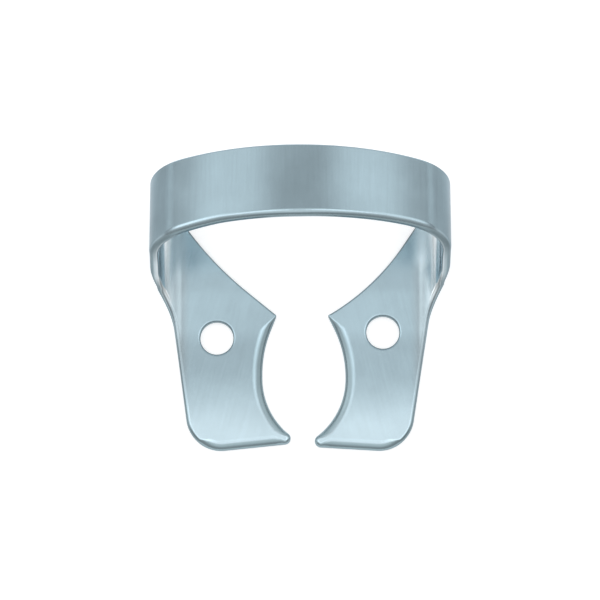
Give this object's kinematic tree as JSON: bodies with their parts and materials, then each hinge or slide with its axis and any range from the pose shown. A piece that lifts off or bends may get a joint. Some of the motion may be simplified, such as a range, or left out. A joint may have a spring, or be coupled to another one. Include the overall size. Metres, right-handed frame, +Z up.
{
  "type": "rubber dam clamp",
  "caption": "Folded spring steel clamp: flat jaws that grip a tooth's neck, joined by an arched bow that springs them shut and holds back the dam sheet.",
  "frame": {"origin": "On the plane that the jaws rest on, below the middle of the bounding box.", "axes": "+Z points up, away from the plane of the jaws. +X runs across both jaws, from one leg to the other. +Y runs from the jaws' free front ends back to the bow."},
  "size_m": [0.0216, 0.0206, 0.0107],
  "materials": {
    "satin_steel": "bluish grey spring steel, satin, with burnished edges"
  },
  "bodies": {
    "root": {"clamp": "satin_steel"}
  },
  "joints": []
}
